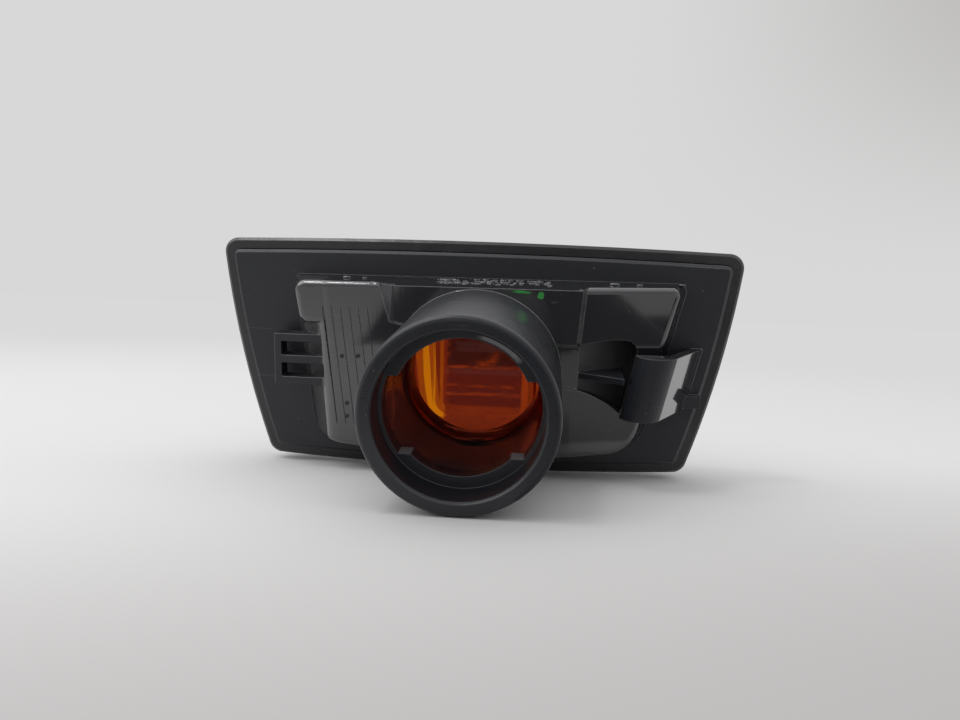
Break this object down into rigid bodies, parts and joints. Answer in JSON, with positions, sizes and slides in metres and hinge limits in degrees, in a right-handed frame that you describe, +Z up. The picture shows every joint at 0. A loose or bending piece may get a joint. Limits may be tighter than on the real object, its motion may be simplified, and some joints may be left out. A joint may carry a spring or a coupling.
{
  "type": "side repeater lamp",
  "caption": "Indicator lamp for a car's front wing: smoked convex lens, black moulded rear housing with bulb tube, hook nose and spring leaf, and an amber inner filter",
  "frame": {"origin": "on the bulb tube's axis, in the plane of the flange plate's inboard face, which seats on the wing", "axes": "+X along the flange from the hook nose to the spring leaf, +Z up as fitted, -Y inboard along the bulb tube, +Y out through the lens"},
  "size_m": [0.0782, 0.0428, 0.0355],
  "materials": {
    "black_plastic": "moulded black, glossy, lightly scuffed",
    "smoked_lens": "polished smoked acrylic",
    "amber_plastic": "clear amber, fluted"
  },
  "bodies": {
    "root": {"rear_housing": "black_plastic", "outer_lens": "smoked_lens", "amber_filter": "amber_plastic"}
  },
  "joints": []
}
